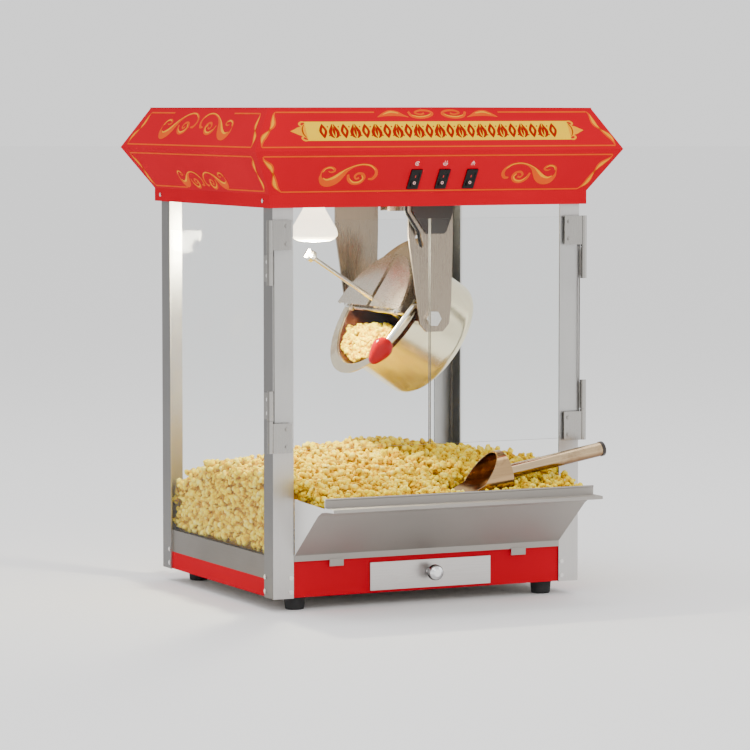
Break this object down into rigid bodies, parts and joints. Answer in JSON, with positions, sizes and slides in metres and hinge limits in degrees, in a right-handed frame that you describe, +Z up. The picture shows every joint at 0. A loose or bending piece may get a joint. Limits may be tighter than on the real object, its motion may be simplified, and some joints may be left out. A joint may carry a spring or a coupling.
{
  "type": "popcorn machine",
  "caption": "Countertop popcorn popper: glazed steel cabinet, flared canopy, tipping kettle with stirrer, swinging doors, drawer base, serving tray and scoop.",
  "frame": {"origin": "on the table, under the middle of the overall box", "axes": "+X to the machine's right as seen from its front, +Y from the doors to the back, +Z up"},
  "size_m": [0.5138, 0.5194, 0.627],
  "materials": {
    "post_steel": "satin",
    "rail_steel": "satin",
    "red_enamel": "gloss",
    "clear_panel": "gloss",
    "hinge_steel": "satin",
    "foot_rubber": "matte",
    "drawer_steel": "satin",
    "knob_chrome": "polished",
    "hanger_steel": "satin",
    "gusset_dark": "satin",
    "motor_grey": "satin",
    "socket_ceramic": "satin",
    "bulb_glass": "gloss",
    "switch_black": "gloss",
    "lead_black": "satin",
    "kettle_polish": "polished",
    "heater_plate": "matte",
    "shaft_steel": "satin",
    "knob_red": "gloss",
    "tray_aluminium": "satin",
    "scoop_aluminium": "polished",
    "cap_black": "satin",
    "popcorn": "matte"
  },
  "bodies": {
    "cabinet": {"front_left_post": "post_steel", "front_right_post": "post_steel", "rear_left_post": "post_steel", "rear_right_post": "post_steel", "base_front_panel": "red_enamel", "base_side_panels": "red_enamel", "base_bottom_plate": "rail_steel", "window_rails": "rail_steel", "floor_pan": "rail_steel", "left_window": "clear_panel", "right_window": "clear_panel", "rear_window": "clear_panel", "canopy_front": "red_enamel", "canopy_left": "red_enamel", "canopy_right": "red_enamel", "canopy_rear": "red_enamel", "canopy_top": "red_enamel", "ceiling_plate": "rail_steel", "rubber_feet": "foot_rubber", "drawer_runners": "rail_steel", "kettle_hangers": "hanger_steel", "hanger_gussets": "gusset_dark", "coupling_guard": "hanger_steel", "gearmotor": "motor_grey", "lamp_socket": "socket_ceramic", "lamp_bulb": "bulb_glass", "switch_housings": "switch_black", "post_hinges": "hinge_steel", "hinge_pins": "hinge_steel", "frame_screws": "hinge_steel", "cord_gland": "switch_black", "kettle_lead": "lead_black", "popcorn_heap": "popcorn"},
    "left_door": {"left_door_panel": "clear_panel", "left_door_hinges": "hinge_steel"},
    "right_door": {"right_door_panel": "clear_panel", "right_door_hinges": "hinge_steel"},
    "kettle": {"kettle_pot": "kettle_polish", "kettle_casing": "kettle_polish", "kettle_heater": "heater_plate", "kettle_crossbar": "kettle_polish", "kettle_rear_lid": "kettle_polish", "kettle_trunnions": "kettle_polish", "tilt_lever": "shaft_steel", "tilt_knob": "knob_red"},
    "kettle_lid": {"kettle_front_lid": "kettle_polish"},
    "stirrer": {"agitator": "shaft_steel"},
    "drive_coupling": {"motor_coupling": "shaft_steel"},
    "drawer": {"drawer_tray": "drawer_steel", "drawer_front": "drawer_steel", "drawer_knob": "knob_chrome"},
    "tray": {"serving_tray": "tray_aluminium", "tray_popcorn": "popcorn"},
    "scoop": {"scoop_bowl": "scoop_aluminium", "scoop_handle": "scoop_aluminium", "scoop_cap": "cap_black"},
    "motor_switch": {"motor_rocker": "switch_black"},
    "kettle_switch": {"kettle_rocker": "switch_black"},
    "lamp_switch": {"lamp_rocker": "switch_black"}
  },
  "joints": [
    {"name": "left_door_swing", "type": "hinge", "parent": "cabinet", "child": "left_door", "pos_m": [-0.2205, -0.1457, 0.3455], "axis": [0, 0, -1], "range_deg": [0, 110]},
    {"name": "right_door_swing", "type": "hinge", "parent": "cabinet", "child": "right_door", "pos_m": [0.2205, -0.1457, 0.3455], "axis": [0, 0, 1], "range_deg": [0, 110]},
    {"name": "kettle_tilt", "type": "hinge", "parent": "cabinet", "child": "kettle", "pos_m": [0.033, 0.0253, 0.358], "axis": [0, 1, 0], "range_deg": [0, 57]},
    {"name": "lid_flip", "type": "hinge", "parent": "kettle", "child": "kettle_lid", "pos_m": [0.00047, 0.0253, 0.36482], "axis": [0, -1, 0], "range_deg": [0, 178]},
    {"name": "stirrer_spin", "type": "hinge", "parent": "kettle", "child": "stirrer", "pos_m": [0.033, 0.0253, 0.358], "axis": [-0.8387, 0, 0.5446], "continuous": true},
    {"name": "coupling_spin", "type": "hinge", "parent": "cabinet", "child": "drive_coupling", "pos_m": [0.033, 0.0253, 0.517], "axis": [0, 0, 1], "continuous": true},
    {"name": "drawer_slide", "type": "slide", "parent": "cabinet", "child": "drawer", "axis": [0, -1, 0], "range_m": [0, 0.19]},
    {"name": "tray_unhook", "type": "slide", "parent": "cabinet", "child": "tray", "axis": [0, -0.766, 0.6428], "range_m": [0, 0.15]},
    {"name": "scoop_lift", "type": "slide", "parent": "tray", "child": "scoop", "axis": [0, 0, 1], "range_m": [0, 0.2]},
    {"name": "motor_switch_rock", "type": "hinge", "parent": "cabinet", "child": "motor_switch", "pos_m": [-0.0295, -0.15963, 0.53946], "axis": [1, 0, 0], "range_deg": [0, 16]},
    {"name": "kettle_switch_rock", "type": "hinge", "parent": "cabinet", "child": "kettle_switch", "pos_m": [0.0095, -0.15963, 0.53946], "axis": [1, 0, 0], "range_deg": [0, 16]},
    {"name": "lamp_switch_rock", "type": "hinge", "parent": "cabinet", "child": "lamp_switch", "pos_m": [0.0485, -0.15963, 0.53946], "axis": [1, 0, 0], "range_deg": [0, 16]}
  ]
}
